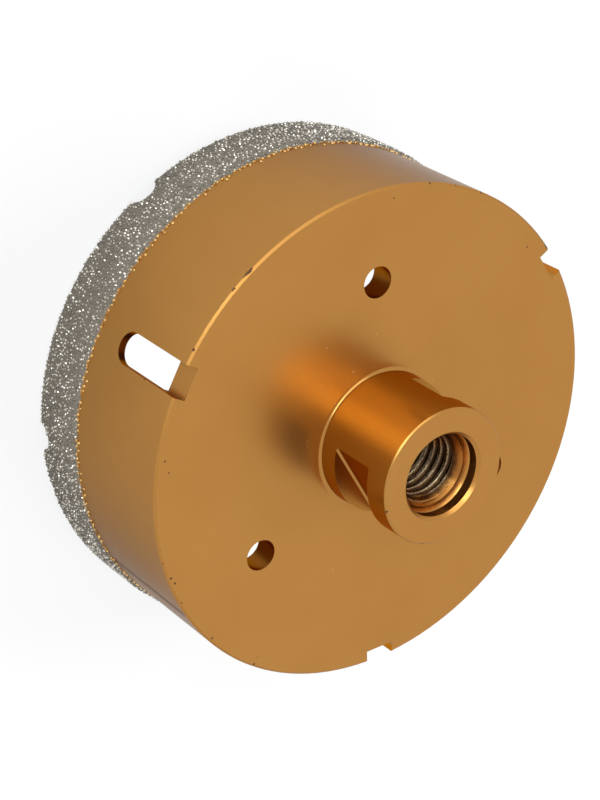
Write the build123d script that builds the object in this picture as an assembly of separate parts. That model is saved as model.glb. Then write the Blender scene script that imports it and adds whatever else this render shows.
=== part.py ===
from build123d import *
import os

# Diamond core bit for an angle grinder, in millimetres.
# The origin is on the tool axis, in the plane of the crown's rim. The open crown faces down and
# the threaded hub stands up along +Z. One of the three side slots is on +X.

# Barrel: a steel tube
barrel_diameter = 98.0
barrel_wall = 1.5
rim_to_face = 39.3
face_edge_break = 0.4

# Side slots, milled inwards through the barrel and a little into the back plate's edge
slot_count = 3
slot_width = 6.15
slot_length = 19.55
slot_depth = 2.6

# Brazed diamond layer on the barrel's lower end
coat_thickness = 1.0
coat_height_outside = 13.2
coat_height_inside = 8.0
coat_corner_chamfer = 0.4
coat_edge_taper = 0.6

# Half-round notches in the rim, measured on the finished diamond layer
rim_notch_count = 6
rim_notch_radius = 2.6
rim_notch_angle = 30.0

# Back plate, let into the barrel's upper end
plate_thickness = 5.1
ejection_hole_count = 3
ejection_hole_diameter = 6.1
ejection_hole_circle = 62.6
ejection_hole_angle = 60.0

# Hub
hub_height = 19.2
hub_diameter = 26.6
hub_edge_break = 0.25
hub_spigot_diameter = 20.0
hub_spigot_chamfer = 0.5
braze_fillet = 0.5

# Spanner flats, two pockets in the hub
flats_across = 19.0
flats_start = 4.3
flats_height = 9.7
flats_corner_chamfer = 0.4
flats_angle = 58.0

# Bore: mouth chamfer, relief, countersink with its 45 degree lead, and the tapping hole of
# the M14 x 2 thread
thread_hole_diameter = 12.1
relief_diameter = 16.1
relief_depth = 2.45
mouth_chamfer = 0.6
countersink_lead = 0.18
countersink_half_angle = 30.0
thread_exit_chamfer = 0.8

# Places that follow from the sizes above
barrel_radius = barrel_diameter / 2
barrel_bore_radius = barrel_radius - barrel_wall
hub_radius = hub_diameter / 2
spigot_radius = hub_spigot_diameter / 2
barrel_end = coat_thickness
plate_underside = rim_to_face - plate_thickness
hub_top = rim_to_face + hub_height
slot_step = 360 / slot_count
rim_notch_step = 360 / rim_notch_count
hole_step = 360 / ejection_hole_count


def turned(points):
    """A solid of revolution about Z from (radius, height) points."""
    outline = Plane.XZ * Polyline(*points, close=True)
    return revolve(make_face(outline), Axis.Z)


def around(count, first_angle, step, shape):
    """Copies of a shape spaced evenly about Z."""
    return [Rot(0, 0, first_angle + step * index) * shape for index in range(count)]


def slot_cutter():
    """The path of the end mill that cuts one side slot, on +X."""
    half_width = slot_width / 2
    round_centre = rim_to_face - slot_length + half_width
    straight = Pos(0, round_centre + slot_length / 2) * Rectangle(slot_width, slot_length)
    rounded = Pos(0, round_centre) * Circle(half_width)
    start = Plane((barrel_radius - slot_depth, 0, 0), x_dir=(0, 1, 0), z_dir=(1, 0, 0))
    return extrude(start * (straight + rounded), slot_depth * 2)


def rim_notch_cutter(radius):
    """A bar along +X, level with the rim, that leaves a half-round notch."""
    start = Plane((barrel_radius / 2, 0, 0), x_dir=(0, 1, 0), z_dir=(1, 0, 0))
    return extrude(start * Circle(radius), barrel_radius)


def make_barrel():
    """The tube, with its slots and the notches that the diamond layer lines."""
    tube = turned([
        (barrel_bore_radius, barrel_end),
        (barrel_radius, barrel_end),
        (barrel_radius, rim_to_face - face_edge_break),
        (barrel_radius - face_edge_break, rim_to_face),
        (barrel_bore_radius, rim_to_face),
    ])
    steel_notch = rim_notch_cutter(rim_notch_radius + coat_thickness)
    tube -= around(rim_notch_count, rim_notch_angle, rim_notch_step, steel_notch)
    tube -= around(slot_count, 0, slot_step, slot_cutter())
    return tube


def ejection_hole_cutter():
    """A drill's path through the back plate, on +X."""
    start = Plane.XY * Pos(ejection_hole_circle / 2, 0, plate_underside)
    return extrude(start * Circle(ejection_hole_diameter / 2), plate_thickness)


def make_back_plate():
    """The disc that closes the barrel, seated against the barrel's bore and the hub's spigot."""
    plate = turned([
        (spigot_radius, plate_underside),
        (barrel_bore_radius, plate_underside),
        (barrel_bore_radius, rim_to_face),
        (spigot_radius, rim_to_face),
    ])
    plate -= around(slot_count, 0, slot_step, slot_cutter())
    plate -= around(ejection_hole_count, ejection_hole_angle, hole_step, ejection_hole_cutter())
    return plate


def spanner_pocket():
    """One of the two pockets that leave the hub's spanner flats, on +X."""
    deep = flats_across / 2
    low = rim_to_face + flats_start
    high = low + flats_height
    section = Plane.XZ * Polyline(
        (deep, low + flats_corner_chamfer),
        (deep, high - flats_corner_chamfer),
        (deep + flats_corner_chamfer, high),
        (hub_diameter, high),
        (hub_diameter, low),
        (deep + flats_corner_chamfer, low),
        close=True,
    )
    return extrude(make_face(section), hub_radius, both=True)


def make_hub():
    """The turned hub: boss, spigot, stepped bore and spanner pockets."""
    hole_radius = thread_hole_diameter / 2
    relief_radius = relief_diameter / 2
    relief_floor = hub_top - relief_depth
    cone_radius = relief_radius - countersink_lead
    cone_top = relief_floor - countersink_lead
    countersink = Vector(1, 0).rotate(Axis.Z, 90 - countersink_half_angle)
    countersink_height = (cone_radius - hole_radius) * countersink.Y / countersink.X
    hub = turned([
        (hole_radius + thread_exit_chamfer, plate_underside),
        (spigot_radius - hub_spigot_chamfer, plate_underside),
        (spigot_radius, plate_underside + hub_spigot_chamfer),
        (spigot_radius, rim_to_face),
        (hub_radius + braze_fillet, rim_to_face),
        (hub_radius, rim_to_face + braze_fillet),
        (hub_radius, hub_top - hub_edge_break),
        (hub_radius - hub_edge_break, hub_top),
        (relief_radius + mouth_chamfer, hub_top),
        (relief_radius, hub_top - mouth_chamfer),
        (relief_radius, relief_floor),
        (cone_radius, cone_top),
        (hole_radius, cone_top - countersink_height),
        (hole_radius, plate_underside + thread_exit_chamfer),
    ])
    return hub - around(2, flats_angle, 180, spanner_pocket())


def make_diamond_crown(barrel):
    """The brazed layer: it wraps the barrel's lower end and lines the rim notches."""
    outer = barrel_radius + coat_thickness
    inner = barrel_bore_radius - coat_thickness
    section = make_face(Plane.XZ * Polyline(
        (inner, 0),
        (outer, 0),
        (outer, coat_height_outside - coat_edge_taper),
        (outer - coat_edge_taper, coat_height_outside),
        (barrel_radius, coat_height_outside),
        (barrel_radius, coat_height_inside),
        (inner + coat_edge_taper, coat_height_inside),
        (inner, coat_height_inside - coat_edge_taper),
        close=True,
    ))
    rim_corners = section.vertices().group_by(Axis.Z)[0]
    section = chamfer(rim_corners, coat_corner_chamfer)
    layer = revolve(section, Axis.Z) - barrel
    finished_notch = rim_notch_cutter(rim_notch_radius)
    return layer - around(rim_notch_count, rim_notch_angle, rim_notch_step, finished_notch)


def write(name, shape):
    """One STEP file for each piece."""
    export_step(shape, f"parts/{name}.step")


os.makedirs("parts", exist_ok=True)
barrel_piece = make_barrel()
write("barrel", barrel_piece)
write("back_plate", make_back_plate())
write("hub", make_hub())
write("diamond_crown", make_diamond_crown(barrel_piece))
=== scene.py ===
import math

import bpy
import bmesh
from mathutils import Matrix, Vector

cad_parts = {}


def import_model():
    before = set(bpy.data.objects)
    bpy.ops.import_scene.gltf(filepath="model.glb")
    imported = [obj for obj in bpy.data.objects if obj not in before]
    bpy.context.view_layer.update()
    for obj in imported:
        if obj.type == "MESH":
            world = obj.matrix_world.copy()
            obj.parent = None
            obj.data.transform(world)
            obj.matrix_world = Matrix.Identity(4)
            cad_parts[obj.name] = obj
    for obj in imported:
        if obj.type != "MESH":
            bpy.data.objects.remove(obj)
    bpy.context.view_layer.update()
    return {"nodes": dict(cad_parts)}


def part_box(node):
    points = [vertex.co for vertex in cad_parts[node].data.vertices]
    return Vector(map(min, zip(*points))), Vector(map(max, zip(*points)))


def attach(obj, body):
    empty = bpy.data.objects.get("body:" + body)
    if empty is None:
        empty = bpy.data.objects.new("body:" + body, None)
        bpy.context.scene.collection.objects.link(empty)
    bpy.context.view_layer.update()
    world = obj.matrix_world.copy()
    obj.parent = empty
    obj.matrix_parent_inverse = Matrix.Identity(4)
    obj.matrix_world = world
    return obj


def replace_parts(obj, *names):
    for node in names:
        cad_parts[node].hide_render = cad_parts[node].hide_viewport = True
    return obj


# Diamond core bit: a gold-painted steel cup with a brazed diamond crown and a threaded hub.
# The bit stands on its crown, and the camera looks down on the hub from one side.

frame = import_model()

MM = 0.001

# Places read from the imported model, in metres
barrel_low, barrel_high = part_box("barrel")
crown_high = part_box("diamond_crown")[1]
plate_low, plate_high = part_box("back_plate")
hub_low, hub_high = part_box("hub")
barrel_radius = barrel_high.y
crown_radius = crown_high.y
face_height = barrel_high.z
hub_top = hub_high.z
hub_bottom = hub_low.z
crown_top = crown_high.z
coat_thickness = crown_radius - barrel_radius
barrel_bore_radius = plate_high.y

# Sizes of the crown and the barrel that their boxes don't give
coat_height_inside = 8.0 * MM
rim_notch_count = 6
rim_notch_radius = 2.6 * MM
rim_notch_angle = math.radians(30)
face_edge_break = 0.4 * MM
edge_break_line = barrel_radius + face_height - face_edge_break
holes_from = 20 * MM
holes_to = 40 * MM

# The braze lies lower than the tops of the diamonds in it, and thins out at its upper edge
braze_depth = 0.42 * MM
braze_top = crown_top - 0.25 * MM
braze_fade = 1.5 * MM
braze_corner = 0.35 * MM
braze_outer = crown_radius - braze_depth
braze_inner = barrel_bore_radius - coat_thickness + braze_depth
braze_notch_radius = rim_notch_radius + braze_depth
notch_bar_length = 12 * MM
notch_bar_sides = 48

# Diamond grains: mean size, spread and spacing
grain_radius = 0.3 * MM
grain_scales = (0.72, 1.12)
grain_spacing = 0.58 * MM
grain_sectors = 4
on_surface = 0.02 * MM

# The paint starts along a ragged line at the braze's edge, and covers a few grains above it
paint_edge = 12.8 * MM
paint_edge_raggedness = 0.7 * MM
paint_edge_scale = 700.0
bead_radius = 0.38 * MM
bead_scales = (0.55, 1.1)
bead_spacing = 0.85 * MM
bead_low = crown_top - 0.7 * MM
bead_top = 14.4 * MM

# Seeds of the random draws
grain_seed = 7
bead_seed = 4
thinning_seed = 8
turn_seed = 3
size_seed = 5
tone_seed = 11

# Hub sizes
hub_radius = 13.3 * MM
hub_edge_break = 0.25 * MM
hub_spigot_radius = 10.0 * MM
hub_spigot_chamfer = 0.5 * MM
braze_fillet = 0.8 * MM
braze_fillet_end = math.radians(32)
braze_fillet_height = braze_fillet * (1 - math.sin(braze_fillet_end))
braze_fillet_steps = 6
flat_distance = 9.5 * MM
flats_start = 4.3 * MM
flats_height = 9.7 * MM
flats_corner_chamfer = 0.4 * MM
flats_angle = math.radians(58)
relief_radius = 8.05 * MM
relief_depth = 2.45 * MM
countersink_lead = 0.18 * MM
mouth_chamfer = 0.6 * MM
countersink_half_angle = math.radians(30)
thread_exit_chamfer = 0.8 * MM
relief_floor = hub_top - relief_depth

# M14 x 2 thread
thread_pitch = 2.0 * MM
thread_minor_radius = 6.05 * MM
thread_major_radius = 7.0 * MM
thread_root_flat = 0.25 * MM
thread_flank_angle = math.radians(30)
thread_crest_break = 0.07 * MM
thread_sleeve_radius = 7.35 * MM

# Turning marks in the bore, as the angle of a sine for each metre
turning_lines = 2 * math.pi / (0.16 * MM)

lathe_steps = 240
crown_steps = 360
thread_steps_per_turn = 72


def srgb(red, green, blue):
    """A colour given as screen values from 0 to 255, as the linear values that a shader takes."""
    def linear(value):
        share = value / 255
        return share / 12.92 if share <= 0.04045 else ((share + 0.055) / 1.055) ** 2.4
    return (linear(red), linear(green), linear(blue), 1.0)


class Shader:
    """A material's node tree, with short calls that add and join its nodes."""

    def __init__(self, name):
        self.material = bpy.data.materials.new(name)
        self.material.use_nodes = True
        self.tree = self.material.node_tree
        self.tree.nodes.clear()
        self.output = self.tree.nodes.new("ShaderNodeOutputMaterial")
        self.place = self.add("ShaderNodeTexCoord").outputs["Object"]

    def add(self, kind, **settings):
        node = self.tree.nodes.new(kind)
        for name, value in settings.items():
            setattr(node, name, value)
        return node

    def feed(self, socket, value):
        if isinstance(value, bpy.types.NodeSocket):
            self.tree.links.new(value, socket)
        else:
            socket.default_value = value

    def math(self, operation, first, second=0.0):
        node = self.add("ShaderNodeMath", operation=operation)
        for socket, value in zip(node.inputs, (first, second)):
            self.feed(socket, value)
        return node.outputs[0]

    def vector(self, operation, first, second=(0.0, 0.0, 0.0)):
        """A vector sum or product, or the number that a distance or dot product gives."""
        node = self.add("ShaderNodeVectorMath", operation=operation)
        self.feed(node.inputs[0], first)
        self.feed(node.inputs[1], second)
        return node.outputs[1 if operation in ("DISTANCE", "DOT_PRODUCT") else 0]

    def noise(self, scale, detail=2.0):
        node = self.add("ShaderNodeTexNoise")
        self.feed(node.inputs["Vector"], self.place)
        node.inputs["Scale"].default_value = scale
        node.inputs["Detail"].default_value = detail
        return node.outputs["Fac"]

    def height(self):
        return self.vector("DOT_PRODUCT", self.place, (0, 0, 1))

    def radius(self):
        """The distance from the bit's axis."""
        flat = self.vector("MULTIPLY", self.place, (1, 1, 0))
        return self.vector("DISTANCE", flat)

    def spots(self, places):
        """One in each round spot and nought outside, for spots given as (centre, radius)."""
        nearest = 2.0
        for centre, size in places:
            share = self.math("DIVIDE", self.vector("DISTANCE", self.place, centre), size)
            nearest = self.math("MINIMUM", nearest, share)
        uneven = self.math("ADD", nearest, self.math("SUBTRACT", self.noise(spot_edge), 0.5))
        return self.math("SUBTRACT", 1.0, self.ramp(uneven, 0.75, 1.0))

    def ramp(self, value, low, high):
        """Nought below low, one above high, and smooth between."""
        node = self.add("ShaderNodeMapRange", interpolation_type="SMOOTHSTEP")
        self.feed(node.inputs["Value"], value)
        node.inputs["From Min"].default_value = low
        node.inputs["From Max"].default_value = high
        return node.outputs["Result"]

    def mix(self, share, first, second):
        node = self.add("ShaderNodeMix", data_type="RGBA")
        self.feed(node.inputs["Factor"], share)
        self.feed(node.inputs["A"], first)
        self.feed(node.inputs["B"], second)
        return node.outputs["Result"]

    def blend(self, share, first, second):
        node = self.add("ShaderNodeMix", data_type="FLOAT")
        self.feed(node.inputs["Factor"], share)
        self.feed(node.inputs["A"], first)
        self.feed(node.inputs["B"], second)
        return node.outputs["Result"]

    def bump(self, height, strength, distance):
        node = self.add("ShaderNodeBump")
        node.inputs["Strength"].default_value = strength
        node.inputs["Distance"].default_value = distance
        self.feed(node.inputs["Height"], height)
        return node.outputs["Normal"]

    def surface(self, **sockets):
        node = self.add("ShaderNodeBsdfPrincipled")
        for name, value in sockets.items():
            self.feed(node.inputs[name.replace("_", " ")], value)
        self.tree.links.new(node.outputs["BSDF"], self.output.inputs["Surface"])
        return self.material


# How far a mask on a finish takes to fade
mask_edge = 0.03 * MM

# Finishes: how metallic and how rough each one is. Two numbers are the ends of a range.
paint_metallic = 0.82
bore_metallic = 0.97
bare_metallic = 0.4
braze_metallic = 0.85
grain_metallic = 0.9
bead_metallic = 0.7
thread_metallic = 0.97
paint_roughness = (0.28, 0.3)
bore_roughness = 0.22
fillet_roughness = 0.2
bare_roughness = 0.45
edge_roughness = 0.42
braze_roughness = 0.42
painted_braze_roughness = 0.3
grain_roughness = (0.36, 0.19)
bead_roughness = (0.26, 0.42)
thread_roughness = (0.16, 0.22)

# The depth of the bump on a finish, and how much of it each relief takes
finish_relief = 0.03 * MM
paint_grain_relief = 0.1
bore_ring_relief = 0.1
chip_relief = 0.8
thread_ring_relief = 0.15
thread_streak_relief = 0.5
braze_pit_depth = 0.1 * MM
finish_bump = 0.8
braze_bump = 0.5

# How fine each pattern on a finish is, in waves for each metre
paint_cloud = 60.0
paint_grain = 1400.0
spot_edge = 2500.0
braze_patch = 500.0
braze_pits = 2600.0
small_patch = 900.0
thread_streak = 3000.0

# How much of the dark line's colour shows, face on and at the edge
dark_line_share = 0.4
dark_line_tint_share = 0.5

# Colours
gold_color = (0.452, 0.212, 0.050, 1.0)
gold_shade = (0.436, 0.200, 0.046, 1.0)
edge_tint = (0.42, 0.46, 0.52, 1.0)
bore_gold = (0.47, 0.21, 0.052, 1.0)
# Redder, darker gold and a redder edge tint for the walls of the slots and holes: painted shade in these
# recesses
wall_shade_gold = (0.45, 0.16, 0.026, 1.0)
wall_shade_edge_tint = (0.82, 0.44, 0.11, 1.0)
# A yellower gold for the hub's side: painted highlight colour, which makes the lit hub read yellow
hub_side_highlight_gold = (0.46, 0.25, 0.062, 1.0)
# A darker gold for the spanner pockets: painted shade in these recesses
pocket_shade_gold = (0.38, 0.168, 0.036, 1.0)
dark_line_color = (0.11, 0.055, 0.022, 1.0)
# A lighter gold for the beads than the paint elsewhere: painted highlight, so that they glint
bead_highlight_color = (0.74, 0.46, 0.16, 1.0)
chip_color = srgb(84, 54, 36)
dust_color = srgb(232, 190, 140)
braze_colors = (srgb(124, 116, 105), srgb(154, 146, 134))
grain_colors = (srgb(140, 133, 122), srgb(226, 218, 206))
# Thread colours: the crests are lighter than the flanks, a painted highlight
flank_colors = (srgb(52, 30, 14), srgb(88, 62, 36))
crest_color = srgb(168, 146, 117)


def at(azimuth, radius, height):
    """A place given by its azimuth in degrees, and its radius and height in millimetres."""
    turn = math.radians(azimuth)
    return (radius * math.cos(turn) * MM, radius * math.sin(turn) * MM, height * MM)


# Paint chips on the face's rim: azimuth and size of each
face_rim_chips = (
    (-115.6, 0.45), (-115.0, 0.45), (-74.2, 0.28), (-81.5, 0.26), (-89.3, 0.3), (41.7, 0.24),
    (85.0, 0.24), (174.9, 0.34), (128.0, 0.3), (151.5, 0.26),
)
# Streaks on the rim's outer side: azimuth, radius, height and size
rim_streaks = (
    (-27.0, 49.0, 38.85, 0.22), (-26.5, 49.0, 38.9, 0.34), (-25.9, 49.0, 38.9, 0.36),
    (-25.3, 49.0, 38.85, 0.3), (-24.7, 49.0, 38.85, 0.22), (-21.6, 49.0, 38.85, 0.28),
    (-21.1, 49.0, 38.85, 0.2), (-16.4, 49.0, 38.8, 0.16), (-6.9, 49.0, 38.9, 0.3),
)
# The other chips and the dust, given in the same way
other_chips = (
    (-123.3, 48.6, 39.3, 0.2), (-121.8, 46.4, 39.3, 0.18), (-122.3, 46.6, 39.3, 0.2),
    (-122.9, 46.9, 39.3, 0.22), (-123.3, 47.3, 39.3, 0.2), (-123.4, 47.8, 39.3, 0.18),
    (17.5, 47.4, 39.3, 0.24), (20.3, 46.3, 39.3, 0.18), (3.7, 49.0, 29.9, 0.22),
    (42.2, 13.1, 58.4, 0.3), (98.6, 13.1, 58.4, 0.22), (46.0, 48.25, 39.3, 0.27),
    (47.8, 47.95, 39.3, 0.26), (53.4, 48.4, 39.3, 0.2), (67.2, 48.2, 39.3, 0.27),
    (82.5, 48.4, 39.3, 0.26), (82.5, 47.0, 39.3, 0.17), (-64.5, 46.7, 39.3, 0.2),
    (-110.7, 45.6, 39.3, 0.22), (-123.5, 49.0, 28.6, 0.3), (119.0, 49.0, 24.0, 0.3),
)
dust_specks = (
    (-32.2, 24.5, 39.3, 0.12), (-39.4, 16.2, 39.3, 0.13), (-33.4, 15.3, 39.3, 0.1),
    (-55.5, 14.7, 39.3, 0.1), (-58.9, 21.3, 39.3, 0.13), (-118.7, 14.9, 39.3, 0.1),
    (-15.3, 14.04, 39.35, 0.15), (15.0, 16.7, 39.3, 0.11), (17.0, 16.8, 39.3, 0.1),
    (19.1, 16.3, 39.3, 0.09), (-43.8, 13.3, 40.6, 0.1), (96.0, 27.0, 39.3, 0.11),
)
# Azimuth of the dark line down the barrel
dark_line_azimuth = 57.5


def placed(spots):
    return [(at(azimuth, radius, height), size * MM) for azimuth, radius, height, size in spots]


def barrel_dark_line(shader, height, radius):
    """One along a line down the barrel at one azimuth, between the braze and the face, where the paint is
    darker and slightly sunk.
    """
    toward = at(dark_line_azimuth, 1000, 0)
    across = at(dark_line_azimuth + 90, 1000, 0)
    beside = shader.math("ABSOLUTE", shader.vector("DOT_PRODUCT", shader.place, across))
    line = shader.math("SUBTRACT", 1.0, shader.ramp(beside, 0.3 * MM, 1.4 * MM))
    this_side = shader.ramp(shader.vector("DOT_PRODUCT", shader.place, toward), 0.0, 1 * MM)
    on_wall = shader.ramp(radius, barrel_radius - 0.1 * MM, barrel_radius - 0.05 * MM)
    above_braze = shader.ramp(height, crown_top, crown_top + 1 * MM)
    near_face = shader.ramp(height, face_height - 1.2 * MM, face_height - 0.5 * MM)
    below_face = shader.math("SUBTRACT", 1.0, near_face)
    for share in (this_side, on_wall, above_braze, below_face):
        line = shader.math("MULTIPLY", line, share)
    return line


def cut_walls(shader, height, radius):
    """One on the walls of the side slots and of the ejection holes."""
    def past(place, limit):
        return shader.ramp(place, limit, limit + mask_edge)

    def before(place, limit):
        return shader.math("SUBTRACT", 1.0, past(place, limit - mask_edge))

    inner = past(radius, barrel_bore_radius + mask_edge)
    in_barrel = shader.math("MULTIPLY", inner, before(radius, barrel_radius - 2 * mask_edge))
    in_plate = shader.math("MULTIPLY", past(radius, holes_from), before(radius, holes_to))
    in_plate = shader.math("MULTIPLY", in_plate, past(height, plate_low.z + mask_edge))
    walls = shader.math("MAXIMUM", in_barrel, in_plate)
    off_edge_break = before(shader.math("ADD", radius, height), edge_break_line - mask_edge)
    walls = shader.math("MULTIPLY", walls, before(height, face_height - mask_edge))
    return shader.math("MULTIPLY", walls, off_edge_break)


def hub_side(shader, height, radius):
    """One on the hub's side and in its spanner pockets, apart from the chamfer in their lower corner."""
    edge = hub_top - hub_edge_break - mask_edge
    share = shader.math("SUBTRACT", 1.0, shader.ramp(height, edge, edge + 0.02 * MM))
    for inside in (
        shader.math("GREATER_THAN", height, face_height + braze_fillet_height),
        shader.math("LESS_THAN", radius, hub_radius + 0.05 * MM),
        shader.math("GREATER_THAN", radius, relief_radius + 0.4 * MM),
    ):
        share = shader.math("MULTIPLY", share, inside)
    shelf = face_height + flats_start
    below_chamfer = shader.math("LESS_THAN", height, shelf + 0.02 * MM)
    above_chamfer = shader.math("GREATER_THAN", height, shelf + flats_corner_chamfer + 0.02 * MM)
    round_side = shader.math("GREATER_THAN", radius, hub_radius - 0.05 * MM)
    off_chamfer = shader.math("MAXIMUM", round_side, shader.math("MAXIMUM", below_chamfer, above_chamfer))
    return shader.math("MULTIPLY", share, off_chamfer)


def hub_fillet(shader, height, radius):
    """One on the round at the hub's foot, where the braze is smooth under the paint."""
    low = shader.math("GREATER_THAN", height, face_height + 0.01 * MM)
    high = shader.math("LESS_THAN", height, face_height + braze_fillet_height)
    near = shader.math("LESS_THAN", radius, hub_radius + 2 * braze_fillet)
    return shader.math("MULTIPLY", shader.math("MULTIPLY", low, high), near)


def gold_paint():
    """Satin metallic gold paint with a few chips and dust specks, thin and brown in the bore."""
    paint = Shader("gold_paint")
    height = paint.height()
    radius = paint.radius()
    cloud = paint.noise(paint_cloud, 3.0)
    fine = paint.noise(paint_grain)
    # A darker, slightly sunk line down the barrel at one azimuth.
    dark_line = barrel_dark_line(paint, height, radius)
    rim_chips = [(azimuth, 48.9, 39.2, size) for azimuth, size in face_rim_chips]
    chip = paint.spots(placed(rim_chips + list(rim_streaks + other_chips)))
    dust = paint.spots(placed(dust_specks))
    bore = paint.math("SUBTRACT", 1.0, paint.ramp(radius, relief_radius + 0.1 * MM, relief_radius + 0.3 * MM))

    color = paint.mix(paint.ramp(cloud, 0.3, 0.75), gold_color, gold_shade)
    color = paint.mix(bore, color, bore_gold)
    # Redder, darker gold on the walls of the slots and holes: painted shade in these recesses.
    walls = cut_walls(paint, height, radius)
    color = paint.mix(walls, color, wall_shade_gold)
    # On the hub's side a yellower gold: painted highlight colour.
    beside_hub = hub_side(paint, height, radius)
    # In the spanner pockets a darker gold: painted shade.
    in_pocket = paint.math("LESS_THAN", radius, hub_radius - 0.05 * MM)
    color = paint.mix(beside_hub, color, paint.mix(in_pocket, hub_side_highlight_gold, pocket_shade_gold))
    color = paint.mix(paint.math("MULTIPLY", dark_line, dark_line_share), color, dark_line_color)
    color = paint.mix(chip, color, chip_color)
    color = paint.mix(dust, color, dust_color)
    bare = paint.math("MAXIMUM", chip, dust)
    metallic = paint.blend(bore, paint.blend(bare, paint_metallic, bare_metallic), bore_metallic)
    # The redder edge tint, painted shade, goes on these walls and on the hub's side.
    walls = paint.math("MAXIMUM", walls, beside_hub)
    metallic = paint.blend(walls, metallic, 1.0)
    roughness = paint.blend(cloud, *paint_roughness)
    roughness = paint.blend(bore, roughness, bore_roughness)
    roughness = paint.blend(hub_fillet(paint, height, radius), roughness, fillet_roughness)
    roughness = paint.blend(bare, roughness, bare_roughness)
    beside_edge = paint.math("SUBTRACT", paint.math("ADD", radius, height), edge_break_line)
    off_edge = paint.ramp(paint.math("ABSOLUTE", beside_edge), 0.05 * MM, 0.1 * MM)
    roughness = paint.blend(off_edge, edge_roughness, roughness)
    rings = paint.math("SINE", paint.math("MULTIPLY", paint.math("ADD", height, radius), turning_lines))
    paint_relief = paint.math("MULTIPLY", fine, paint_grain_relief)
    relief = paint.blend(bore, paint_relief, paint.math("MULTIPLY", rings, bore_ring_relief))
    sunk = paint.math("MULTIPLY", paint.math("MAXIMUM", chip, dark_line), chip_relief)
    relief = paint.math("SUBTRACT", relief, sunk)
    tint = paint.mix(paint.math("MULTIPLY", dark_line, dark_line_tint_share), edge_tint, dark_line_color)
    return paint.surface(
        Base_Color=color,
        Metallic=metallic,
        Roughness=roughness,
        Specular_Tint=paint.mix(walls, tint, wall_shade_edge_tint),
        Normal=paint.bump(relief, finish_bump, finish_relief),
    )


def painted_over(shader):
    """One where the gold paint reaches down over the braze, to a ragged line."""
    uneven = shader.math("SUBTRACT", shader.noise(paint_edge_scale, 3.0), 0.5)
    edge = shader.math("ADD", shader.height(), shader.math("MULTIPLY", uneven, 2 * paint_edge_raggedness))
    outside = shader.ramp(shader.radius(), barrel_radius - 0.3 * MM, barrel_radius)
    return shader.math("MULTIPLY", shader.ramp(edge, paint_edge - 0.15 * MM, paint_edge + 0.15 * MM), outside)


def diamond_braze():
    """Nickel braze between the grains, grey and rough, with the paint's ragged edge on it."""
    braze = Shader("diamond_braze")
    paint = painted_over(braze)
    patch = braze.noise(braze_patch, 3.0)
    pits = braze.noise(braze_pits, 3.0)
    nickel = braze.mix(patch, *braze_colors)
    return braze.surface(
        Base_Color=braze.mix(paint, nickel, gold_color),
        Metallic=braze_metallic,
        Specular_Tint=edge_tint,
        Roughness=braze.blend(paint, braze_roughness, painted_braze_roughness),
        Normal=braze.bump(pits, braze_bump, braze_pit_depth),
    )


def diamond_grain():
    """Nickel-wetted diamond crystals, some bright and some dark, gold above the paint's edge."""
    grain = Shader("diamond_grain")
    tone = grain.add("ShaderNodeAttribute", attribute_name="grain_tone").outputs["Fac"]
    bright = grain.ramp(tone, 0.25, 0.9)
    nickel = grain.mix(bright, *grain_colors)
    return grain.surface(
        Base_Color=grain.mix(painted_over(grain), nickel, gold_color),
        Metallic=grain_metallic,
        Specular_Tint=edge_tint,
        Roughness=grain.blend(bright, *grain_roughness),
    )


def painted_bead():
    """The gold paint on small round grains, in a lighter gold than elsewhere: a painted highlight that makes
    them glint.
    """
    bead = Shader("painted_bead")
    return bead.surface(
        Base_Color=bead_highlight_color,
        Metallic=bead_metallic,
        Roughness=bead.blend(bead.noise(small_patch), *bead_roughness),
    )


def oiled_thread():
    """Oiled steel thread: dark flanks, brighter crests, and stray gold paint at its mouth."""
    steel = Shader("bare_thread")
    radius = steel.radius()
    patch = steel.noise(small_patch, 3.0)
    streaks = steel.noise(thread_streak, 3.0)
    uneven = steel.math("MULTIPLY", steel.math("SUBTRACT", patch, 0.5), 0.8 * MM)
    stray = steel.math("ADD", steel.height(), uneven)
    paint = steel.ramp(stray, relief_floor - 2.7 * MM, relief_floor - 1.5 * MM)
    off_crest = steel.ramp(radius, thread_minor_radius + 0.05 * MM, thread_minor_radius + 0.4 * MM)
    crest = steel.math("SUBTRACT", 1.0, off_crest)
    # Lighter steel on the crests, in streaks: painted highlight on the crests.
    crest_highlight = steel.math("MULTIPLY", crest, steel.ramp(streaks, 0.25, 0.6))
    color = steel.mix(patch, *flank_colors)
    color = steel.mix(crest_highlight, color, crest_color)
    color = steel.mix(paint, color, bore_gold)
    along = steel.math("ADD", steel.height(), radius)
    rings = steel.math("SINE", steel.math("MULTIPLY", along, turning_lines))
    ring_relief = steel.math("MULTIPLY", rings, thread_ring_relief)
    relief = steel.math("ADD", ring_relief, steel.math("MULTIPLY", streaks, thread_streak_relief))
    return steel.surface(
        Base_Color=color,
        Metallic=thread_metallic,
        Roughness=steel.blend(paint, *thread_roughness),
        Normal=steel.bump(relief, finish_bump, finish_relief),
    )


def finish_piece(name, mesh, material, smooth_angle=35):
    """Makes a mesh a piece of the bit, with smooth shading up to the given angle."""
    mesh.shade_smooth()
    mesh.set_sharp_from_angle(angle=math.radians(smooth_angle))
    mesh.materials.clear()
    mesh.materials.append(material)
    piece = bpy.data.objects.new(name, mesh)
    bpy.context.scene.collection.objects.link(piece)
    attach(piece, "root")
    return piece


def turn_side(bm, ends, steps, turns=1, rise=0.0):
    """Spins one side of an outline about Z, and lifts it by rise at each step.

    Sides that are spun together come out in another order each run, so each one is spun alone.
    """
    corners = [bm.verts.new((radius, 0, height)) for radius, height in ends]
    side = bm.edges.new(corners)
    bmesh.ops.spin(
        bm, geom=corners + [side], cent=(0, 0, 0), axis=(0, 0, 1), angle=2 * math.pi * turns,
        dvec=(0, 0, rise), steps=steps, use_merge=rise == 0,
    )


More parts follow.
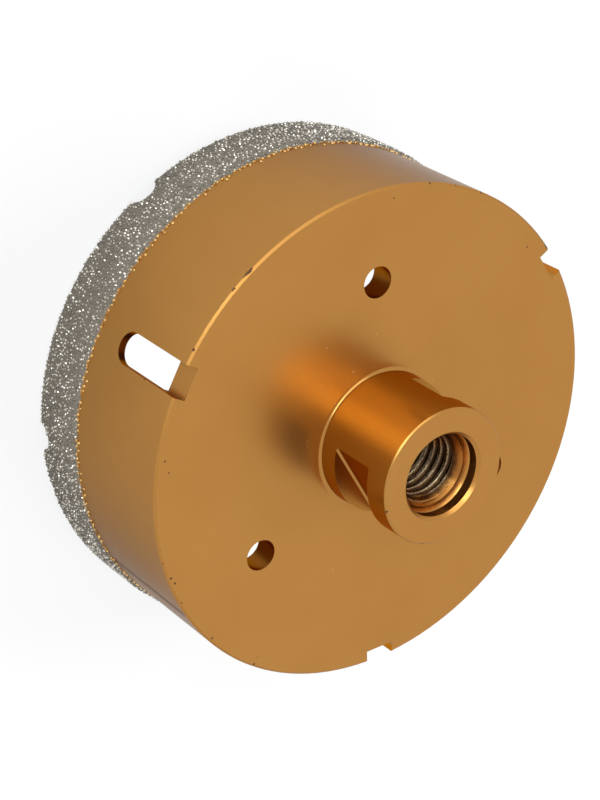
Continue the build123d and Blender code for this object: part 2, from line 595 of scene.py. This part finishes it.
def lathe(outline, steps):
    """A closed solid of revolution about Z from a closed outline of (radius, height) points."""
    bm = bmesh.new()
    for ends in zip(outline, outline[1:] + outline[:1]):
        turn_side(bm, ends, steps)
    bmesh.ops.remove_doubles(bm, verts=bm.verts, dist=1e-7)
    bmesh.ops.recalc_face_normals(bm, faces=bm.faces)
    return bm


def scratch(name, bm):
    """A helper object for a cut, which isn't part of the bit."""
    mesh = bpy.data.meshes.new(name)
    bm.to_mesh(mesh)
    bm.free()
    helper = bpy.data.objects.new(name, mesh)
    bpy.context.scene.collection.objects.link(helper)
    return helper


def cut(body, cutters):
    """The body's mesh with the cutters taken away. The body and its cutters are removed."""
    for cutter in cutters:
        boolean = body.modifiers.new(cutter.name, "BOOLEAN")
        boolean.operation = "DIFFERENCE"
        boolean.solver = "EXACT"
        boolean.object = cutter
    graph = bpy.context.evaluated_depsgraph_get()
    mesh = bpy.data.meshes.new_from_object(body.evaluated_get(graph))
    for helper in [body] + cutters:
        bpy.data.objects.remove(helper)
    return mesh


def cylinder(radius, length, matrix, segments):
    """A closed cylinder along its own Z, turned and placed by the matrix."""
    bm = bmesh.new()
    bmesh.ops.create_cone(
        bm, cap_ends=True, segments=segments, radius1=radius, radius2=radius, depth=length, matrix=matrix,
    )
    return bm


def rim_notch_places():
    """The matrices that lay a bar along each rim notch, level with the rim."""
    lay = Matrix.Translation((barrel_radius, 0, 0)) @ Matrix.Rotation(math.pi / 2, 4, "Y")
    step = 2 * math.pi / rim_notch_count
    return [Matrix.Rotation(rim_notch_angle + step * index, 4, "Z") @ lay for index in range(rim_notch_count)]


def rim_notch_bars(radius):
    """One bar along each rim notch."""
    bars = []
    for index, place in enumerate(rim_notch_places()):
        bars.append(scratch(f"notch_bar_{index}", cylinder(radius, notch_bar_length, place, notch_bar_sides)))
    return bars


def braze_outline():
    """The section of the nickel layer, as if the barrel's end were solid."""
    return [
        (braze_inner, braze_depth + braze_corner),
        (braze_inner + braze_corner, braze_depth),
        (braze_outer - braze_corner, braze_depth),
        (braze_outer, braze_depth + braze_corner),
        (braze_outer, braze_top - braze_fade),
        (barrel_radius, braze_top),
        (barrel_radius, coat_height_inside),
        (braze_inner + braze_corner, coat_height_inside),
        (braze_inner, coat_height_inside - braze_corner),
    ]


def braze_matrix(material):
    """The nickel layer that holds the diamonds: it wraps the barrel's end and lines its notches."""
    layer = scratch("layer", lathe(braze_outline(), crown_steps))
    steel_low = barrel_low.z
    steel_high = coat_height_inside + 1 * MM
    steel = scratch("steel", lathe([
        (barrel_bore_radius, steel_low),
        (barrel_radius, steel_low),
        (barrel_radius, steel_high),
        (barrel_bore_radius, steel_high),
    ], crown_steps))
    lined_bars = rim_notch_bars(rim_notch_radius + coat_thickness)
    steel_end = bpy.data.objects.new("steel_end", cut(steel, lined_bars))
    bpy.context.scene.collection.objects.link(steel_end)
    open_bars = rim_notch_bars(braze_notch_radius)
    mesh = cut(layer, [steel_end] + open_bars)
    return finish_piece("braze_matrix", mesh, material)


class Sower:
    """A geometry node group that sows small crystals over a mesh."""

    def __init__(self, name, spacing, seed):
        self.group = bpy.data.node_groups.new(name, "GeometryNodeTree")
        self.group.interface.new_socket("Geometry", in_out="INPUT", socket_type="NodeSocketGeometry")
        self.group.interface.new_socket("Geometry", in_out="OUTPUT", socket_type="NodeSocketGeometry")
        self.points = self.add("GeometryNodeDistributePointsOnFaces", distribute_method="POISSON")
        self.points.inputs["Distance Min"].default_value = spacing
        self.points.inputs["Density Max"].default_value = 2.2 / spacing ** 2
        self.points.inputs["Seed"].default_value = seed
        self.join(self.add("NodeGroupInput").outputs[0], self.points.inputs["Mesh"])
        split = self.add("ShaderNodeSeparateXYZ")
        self.place = self.add("GeometryNodeInputPosition").outputs[0]
        self.join(self.place, split.inputs[0])
        self.x, self.y, self.z = split.outputs

    def add(self, kind, **settings):
        node = self.group.nodes.new(kind)
        for name, value in settings.items():
            setattr(node, name, value)
        return node

    def join(self, output, socket):
        self.group.links.new(output, socket)

    def calc(self, operation, *values):
        node = self.add("ShaderNodeMath", operation=operation)
        for socket, value in zip(node.inputs, values):
            if isinstance(value, bpy.types.NodeSocket):
                self.join(value, socket)
            else:
                socket.default_value = value
        return node.outputs[0]

    def noise(self, scale):
        node = self.add("ShaderNodeTexNoise")
        node.inputs["Scale"].default_value = scale
        self.join(self.place, node.inputs["Vector"])
        return node.outputs["Fac"]

    def chance(self, seed):
        node = self.add("FunctionNodeRandomValue", data_type="FLOAT")
        node.inputs["Seed"].default_value = seed
        return node.outputs[1]

    def random_vector(self, low, high, seed):
        node = self.add("FunctionNodeRandomValue", data_type="FLOAT_VECTOR")
        node.inputs["Min"].default_value = (low,) * 3
        node.inputs["Max"].default_value = (high,) * 3
        node.inputs["Seed"].default_value = seed
        return node.outputs[0]

    def length(self, first, second):
        """The length of a vector that has these two parts."""
        squares = [self.calc("MULTIPLY", part, part) for part in (first, second)]
        return self.calc("SQRT", self.calc("ADD", *squares))

    def plant(self, keep, radius, smallest, largest):
        """Drops the points where keep is nought, and puts a crystal of its own size and tone on the rest."""
        drop = self.add("GeometryNodeDeleteGeometry", domain="POINT")
        self.join(self.points.outputs["Points"], drop.inputs["Geometry"])
        self.join(self.calc("SUBTRACT", 1.0, keep), drop.inputs["Selection"])
        tone = self.add("GeometryNodeStoreNamedAttribute", data_type="FLOAT", domain="POINT")
        tone.inputs["Name"].default_value = "grain_tone"
        self.join(drop.outputs[0], tone.inputs["Geometry"])
        self.join(self.chance(tone_seed), tone.inputs["Value"])
        crystal = self.add("GeometryNodeMeshIcoSphere")
        crystal.inputs["Radius"].default_value = radius
        crystal.inputs["Subdivisions"].default_value = 1
        plant = self.add("GeometryNodeInstanceOnPoints")
        self.join(tone.outputs[0], plant.inputs["Points"])
        self.join(crystal.outputs["Mesh"], plant.inputs["Instance"])
        self.join(self.random_vector(0.0, 2 * math.pi, turn_seed), plant.inputs["Rotation"])
        self.join(self.random_vector(smallest, largest, size_seed), plant.inputs["Scale"])
        solid = self.add("GeometryNodeRealizeInstances")
        self.join(plant.outputs[0], solid.inputs[0])
        self.join(solid.outputs[0], self.add("NodeGroupOutput").inputs[0])
        return self.group


def grain_bed():
    """What the grains are sown on: the braze's turned outline, and a tube along each notch."""
    bed = bmesh.new()
    outline = braze_outline()
    for ends in zip(outline, outline[1:] + outline[:1]):
        turn_side(bed, ends, crown_steps)
    for place in rim_notch_places():
        bmesh.ops.create_cone(
            bed, cap_ends=False, segments=notch_bar_sides, radius1=braze_notch_radius,
            radius2=braze_notch_radius, depth=notch_bar_length, matrix=place,
        )
    return bed


def braze_grains(sector):
    """Grains over the braze that shows, in one sector of the crown."""
    sower = Sower(f"sow_grains_{sector}", grain_spacing, grain_seed)
    calc = sower.calc
    radius = sower.length(sower.x, sower.y)
    turn = calc("ARCTAN2", sower.y, sower.x)
    share = calc("FRACT", calc("ADD", calc("DIVIDE", turn, 2 * math.pi), 1.0))
    here = calc("COMPARE", calc("FLOOR", calc("MULTIPLY", share, float(grain_sectors))), float(sector), 0.5)
    middle = (barrel_radius + barrel_bore_radius) / 2
    half_wall = (barrel_radius - barrel_bore_radius) / 2
    off_middle = calc("ABSOLUTE", calc("SUBTRACT", radius, middle))
    off_wall = calc("GREATER_THAN", off_middle, half_wall + on_surface)
    low = calc("LESS_THAN", sower.z, barrel_low.z - on_surface)
    notch_step = 2 * math.pi / rim_notch_count
    past_notch = calc("DIVIDE", calc("SUBTRACT", turn, rim_notch_angle), notch_step)
    # Whole steps keep the sum above nought, and the half step puts the notch in the middle of a share
    notch_share = calc("FRACT", calc("ADD", past_notch, rim_notch_count + 0.5))
    off_notch = calc("MULTIPLY", calc("ABSOLUTE", calc("SUBTRACT", notch_share, 0.5)), notch_step)
    beside = calc("MULTIPLY", calc("SINE", off_notch), radius)
    reach = sower.length(beside, sower.z)
    in_notch = calc("LESS_THAN", reach, rim_notch_radius + coat_thickness - 0.1 * MM)
    shows = calc("MAXIMUM", calc("MAXIMUM", off_wall, low), in_notch)
    for on_braze in (
        calc("GREATER_THAN", reach, braze_notch_radius - on_surface),
        calc("GREATER_THAN", radius, braze_inner - on_surface),
        calc("LESS_THAN", radius, braze_outer + on_surface),
        calc("GREATER_THAN", sower.z, braze_depth - on_surface),
    ):
        shows = calc("MULTIPLY", shows, on_braze)
    uneven = calc("MULTIPLY", calc("SUBTRACT", sower.noise(paint_edge_scale), 0.5), 2 * paint_edge_raggedness)
    below_paint = calc("LESS_THAN", calc("ADD", sower.z, uneven), paint_edge + 0.2 * MM)
    keep = calc("MULTIPLY", calc("MULTIPLY", shows, below_paint), here)
    return sower.plant(keep, grain_radius, *grain_scales)


def painted_beads():
    """Stray grains above the braze's edge, fewer and fewer upwards."""
    sower = Sower("sow_beads", bead_spacing, bead_seed)
    calc = sower.calc
    rise = calc("DIVIDE", calc("SUBTRACT", sower.z, paint_edge + 0.6 * MM), bead_top - paint_edge)
    share = calc("SUBTRACT", 0.9, calc("MULTIPLY", rise, 2.2))
    keep = calc("GREATER_THAN", share, sower.chance(thinning_seed))
    return sower.plant(keep, bead_radius, *bead_scales)


def sown(carrier, group, name, material, smooth_angle):
    """The crystals that a node group sows over a mesh, as one piece."""
    sower = carrier.copy()
    bpy.context.scene.collection.objects.link(sower)
    sower.modifiers.new("sow", "NODES").node_group = group
    return finish_piece(name, cut(sower, []), material, smooth_angle)


def diamond_grit(material):
    """The crown's diamonds, as one piece for each sector."""
    bed = scratch("grain_bed", grain_bed())
    for sector in range(grain_sectors):
        grains = braze_grains(sector)
        sown(bed, grains, f"diamond_grit_{sector + 1}", material, smooth_angle=30)
    bpy.data.objects.remove(bed)


def paint_edge_beads(material):
    """Stray grains on the barrel above the braze, under the paint."""
    bm = bmesh.new()
    turn_side(bm, [(barrel_radius, bead_low), (barrel_radius, bead_top)], lathe_steps)
    strip = scratch("strip", bm)
    sown(strip, painted_beads(), "paint_edge_beads", material, smooth_angle=80)
    bpy.data.objects.remove(strip)


def cone_height(radius):
    """The height at which the countersink has the given radius."""
    cone_radius = relief_radius - countersink_lead
    return relief_floor - countersink_lead - (cone_radius - radius) / math.tan(countersink_half_angle)


def fillet_points():
    """The hollow round of the braze at the hub's foot, which meets the hub's side at an angle."""
    foot = hub_radius + braze_fillet * math.cos(braze_fillet_end)
    points = []
    for step in range(braze_fillet_steps + 1):
        turn = math.pi / 2 + (braze_fillet_end - math.pi / 2) * step / braze_fillet_steps
        points.append((
            foot - braze_fillet * math.cos(turn),
            face_height + braze_fillet * (1 - math.sin(turn)),
        ))
    return points


def hub_body(material):
    """The painted hub: boss, spigot, relief, countersink and the two spanner pockets."""
    sleeve_top = cone_height(thread_sleeve_radius)
    body = scratch("hub_blank", lathe([
        (thread_sleeve_radius, hub_bottom),
        (hub_spigot_radius - hub_spigot_chamfer, hub_bottom),
        (hub_spigot_radius, hub_bottom + hub_spigot_chamfer),
        (hub_spigot_radius, face_height),
        *fillet_points(),
        (hub_radius, hub_top - hub_edge_break),
        (hub_radius - hub_edge_break, hub_top),
        (relief_radius + mouth_chamfer, hub_top),
        (relief_radius, hub_top - mouth_chamfer),
        (relief_radius, relief_floor),
        (relief_radius - countersink_lead, relief_floor - countersink_lead),
        (thread_sleeve_radius, sleeve_top),
    ], lathe_steps))
    pockets = []
    for index in range(2):
        bm = bmesh.new()
        bmesh.ops.create_cube(bm, size=1.0)
        depth = 8 * MM
        bmesh.ops.scale(bm, verts=bm.verts, vec=(depth, 4 * hub_radius, flats_height))
        bmesh.ops.translate(bm, verts=bm.verts, vec=(
            flat_distance + depth / 2, 0, face_height + flats_start + flats_height / 2,
        ))
        inner_edges = [
            edge for edge in bm.edges
            if all(vert.co.x < flat_distance + 0.1 * MM for vert in edge.verts)
            and abs(edge.verts[0].co.z - edge.verts[1].co.z) < 0.1 * MM
        ]
        bmesh.ops.bevel(
            bm, geom=inner_edges, offset=flats_corner_chamfer, segments=1, profile=0.5,
            affect="EDGES", material=-1,
        )
        bmesh.ops.rotate(
            bm, verts=bm.verts, cent=(0, 0, 0), matrix=Matrix.Rotation(flats_angle + index * math.pi, 3, "Z"),
        )
        pockets.append(scratch(f"pocket_{index}", bm))
    mesh = cut(body, pockets)
    hub = finish_piece("hub_body", mesh, material)
    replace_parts(hub, "hub")


def thread_core():
    """The closed shape of an M14 x 2 screw, longer than the bore, which cuts the thread."""
    flank = (thread_major_radius - thread_minor_radius) * math.tan(thread_flank_angle)
    crest = thread_pitch - thread_root_flat - 2 * flank
    soft = thread_crest_break
    profile = [
        (thread_minor_radius, soft),
        (thread_minor_radius, crest - soft),
        (thread_minor_radius + soft, crest + soft * math.tan(thread_flank_angle)),
        (thread_major_radius, crest + flank),
        (thread_major_radius, crest + flank + thread_root_flat),
        (thread_minor_radius + soft, thread_pitch - soft * math.tan(thread_flank_angle)),
        (thread_minor_radius, thread_pitch + soft),
    ]
    first = hub_bottom - 2 * thread_pitch
    turns = math.ceil((hub_top - first) / thread_pitch) + 1
    steps = turns * thread_steps_per_turn
    bm = bmesh.new()
    lowered = [(radius, first + height) for radius, height in profile]
    for ends in zip(lowered, lowered[1:]):
        turn_side(bm, ends, steps, turns, thread_pitch / thread_steps_per_turn)
    bmesh.ops.remove_doubles(bm, verts=bm.verts, dist=1e-7)
    for height, side in ((hub_bottom - 1 * MM, -1), (hub_top, 1)):
        bmesh.ops.bisect_plane(
            bm, geom=bm.verts[:] + bm.edges[:] + bm.faces[:], plane_co=(0, 0, height),
            plane_no=(0, 0, side), clear_outer=True,
        )
    rims = [edge for edge in bm.edges if edge.is_boundary]
    bmesh.ops.holes_fill(bm, edges=rims, sides=0)
    bmesh.ops.recalc_face_normals(bm, faces=bm.faces)
    return bm


def spindle_thread(material):
    """The threaded sleeve of the bore, with its run-out in the countersink."""
    sleeve_top = cone_height(thread_sleeve_radius)
    pilot_radius = 1 * MM
    blank = scratch("sleeve", lathe([
        (thread_sleeve_radius, hub_bottom),
        (thread_sleeve_radius, sleeve_top),
        (pilot_radius, sleeve_top),
        (pilot_radius, hub_bottom),
    ], lathe_steps))
    core = scratch("core", thread_core())
    cone_low = cone_height(0)
    cone_high = hub_top
    cone_wide = (cone_high - cone_low) * math.tan(countersink_half_angle)
    cone = bmesh.new()
    bmesh.ops.create_cone(
        cone, cap_ends=True, segments=lathe_steps, radius1=0, radius2=cone_wide,
        depth=cone_high - cone_low, matrix=Matrix.Translation((0, 0, (cone_high + cone_low) / 2)),
    )
    rise = 1 * MM
    exit_radius = thread_minor_radius + thread_exit_chamfer + rise
    exit_cone = bmesh.new()
    bmesh.ops.create_cone(
        exit_cone, cap_ends=True, segments=lathe_steps, radius1=exit_radius, radius2=0,
        depth=exit_radius, matrix=Matrix.Translation((0, 0, hub_bottom - rise + exit_radius / 2)),
    )
    mesh = cut(blank, [core, scratch("countersink", cone), scratch("exit_chamfer", exit_cone)])
    return finish_piece("spindle_thread", mesh, material, smooth_angle=25)


# Distances from the axis, in metres, over which the floor turns white: under the cup, and far off
under_cup = (0.044, 0.048)
far_floor = (0.2, 0.6)
floor_half_width = 3.0
floor_color = (0.88, 0.88, 0.88, 1)
# How much of the floor's white is its own glow, first near the bit, then far off or under the cup
seen_glow = (0.82, 1.0)
mirrored_glow = (0.15, 0.45)
# The surround's brightness in mirrors and to the camera, and as light on the bit
surround_seen = 1.0
surround_light = 0.2
lamp_distance = 0.9


def stage():
    """A pale floor under the bit, and a white surround that lights it only a little."""
    bm = bmesh.new()
    bmesh.ops.create_grid(bm, x_segments=1, y_segments=1, size=floor_half_width)
    mesh = bpy.data.meshes.new("floor")
    bm.to_mesh(mesh)
    bm.free()
    floor = bpy.data.objects.new("floor", mesh)
    bpy.context.scene.collection.objects.link(floor)
    pale = Shader("pale_floor")
    path = pale.add("ShaderNodeLightPath")
    seen = pale.math("MAXIMUM", path.outputs["Is Camera Ray"], path.outputs["Is Transmission Ray"])
    mirrored = path.outputs["Is Glossy Ray"]
    diffuse = pale.add("ShaderNodeBsdfDiffuse")
    diffuse.inputs["Color"].default_value = floor_color
    glow = pale.add("ShaderNodeEmission")
    glow.inputs["Color"].default_value = (1, 1, 1, 1)
    glow.inputs["Strength"].default_value = 1.0
    # Inside the cup the floor glows full white: painted light where the cup shades the floor.
    inside = pale.math("SUBTRACT", 1.0, pale.ramp(pale.radius(), *under_cup))
    far = pale.ramp(pale.radius(), *far_floor)
    seen_share = pale.math("MULTIPLY", seen, pale.blend(pale.math("MAXIMUM", inside, far), *seen_glow))
    mirrored_share = pale.math("MULTIPLY", mirrored, pale.blend(inside, *mirrored_glow))
    mixed = pale.add("ShaderNodeMixShader")
    pale.feed(mixed.inputs[0], pale.math("MAXIMUM", seen_share, mirrored_share))
    pale.feed(mixed.inputs[1], diffuse.outputs[0])
    pale.feed(mixed.inputs[2], glow.outputs[0])
    pale.feed(pale.output.inputs["Surface"], mixed.outputs[0])
    pale.material.cycles.emission_sampling = "NONE"
    mesh.materials.append(pale.material)

    world = bpy.data.worlds.new("studio")
    bpy.context.scene.world = world
    world.use_nodes = True
    tree = world.node_tree
    path = tree.nodes.new("ShaderNodeLightPath")
    background = tree.nodes["Background"]
    background.inputs["Color"].default_value = (1, 1, 1, 1)
    brightness = tree.nodes.new("ShaderNodeMapRange")
    brightness.inputs["To Min"].default_value = surround_seen
    brightness.inputs["To Max"].default_value = surround_light
    tree.links.new(path.outputs["Is Diffuse Ray"], brightness.inputs["Value"])
    tree.links.new(brightness.outputs["Result"], background.inputs["Strength"])


def lamp(name, azimuth, elevation, width, strength, tint=(1.0, 1.0, 1.0), glossy=True):
    """A square softbox that faces the bit. Strength is its radiance, where 1 is white."""
    light = bpy.data.lights.new(name, "AREA")
    light.shape = "SQUARE"
    light.size = width
    light.energy = strength * math.pi * width * width
    light.color = tint
    holder = bpy.data.objects.new(name, light)
    bpy.context.scene.collection.objects.link(holder)
    turn = math.radians(azimuth)
    rise = math.radians(elevation)
    direction = Vector((
        math.cos(rise) * math.cos(turn),
        math.cos(rise) * math.sin(turn),
        math.sin(rise),
    ))
    target = Vector((0, 0, face_height / 2))
    holder.location = target + direction * lamp_distance
    holder.rotation_euler = direction.to_track_quat("Z", "Y").to_euler()
    holder.visible_glossy = glossy


# The camera's place, direction and lens, fitted to the circles in the photograph
camera_place = (278.40 * MM, -55.74 * MM, 319.82 * MM)
camera_heading = math.radians(168.307)
camera_pitch = math.radians(-46.953)
camera_roll = math.radians(121.704)
camera_lens = 96.69
sensor_width = 36.0


def camera():
    """The photograph's view: down on the hub and the barrel, with the bit's axis tilted in the frame."""
    data = bpy.data.cameras.new("camera")
    data.lens = camera_lens
    data.sensor_width = sensor_width
    holder = bpy.data.objects.new("camera", data)
    bpy.context.scene.collection.objects.link(holder)
    look = (
        Matrix.Rotation(camera_heading - math.pi / 2, 4, "Z")
        @ Matrix.Rotation(math.pi / 2 + camera_pitch, 4, "X")
        @ Matrix.Rotation(camera_roll, 4, "Z")
    )
    holder.matrix_world = Matrix.Translation(camera_place) @ look
    bpy.context.scene.camera = holder


camera()
stage()
lamp("key_softbox", azimuth=-19, elevation=46, width=0.36, strength=5.6, tint=(0.86, 1.0, 1.05))
lamp("fill_softbox", azimuth=-57, elevation=46, width=0.6, strength=2.1, tint=(0.95, 1.0, 1.0))
lamp("left_softbox", azimuth=-147, elevation=48, width=0.34, strength=11.5, glossy=False)
lamp("back_softbox", azimuth=155, elevation=48, width=0.34, strength=7.0, glossy=False)
lamp("right_softbox", azimuth=50, elevation=48, width=0.34, strength=4.7, glossy=False)

gold = gold_paint()
nickel = diamond_braze()
crystal = diamond_grain()
steel = oiled_thread()

for node in ("barrel", "back_plate"):
    for holder in frame["nodes"][node].material_slots:
        holder.material = gold

hub_body(gold)
spindle_thread(steel)
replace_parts(braze_matrix(nickel), "diamond_crown")
diamond_grit(crystal)
paint_edge_beads(painted_bead())

bpy.context.scene.view_settings.view_transform = "Standard"
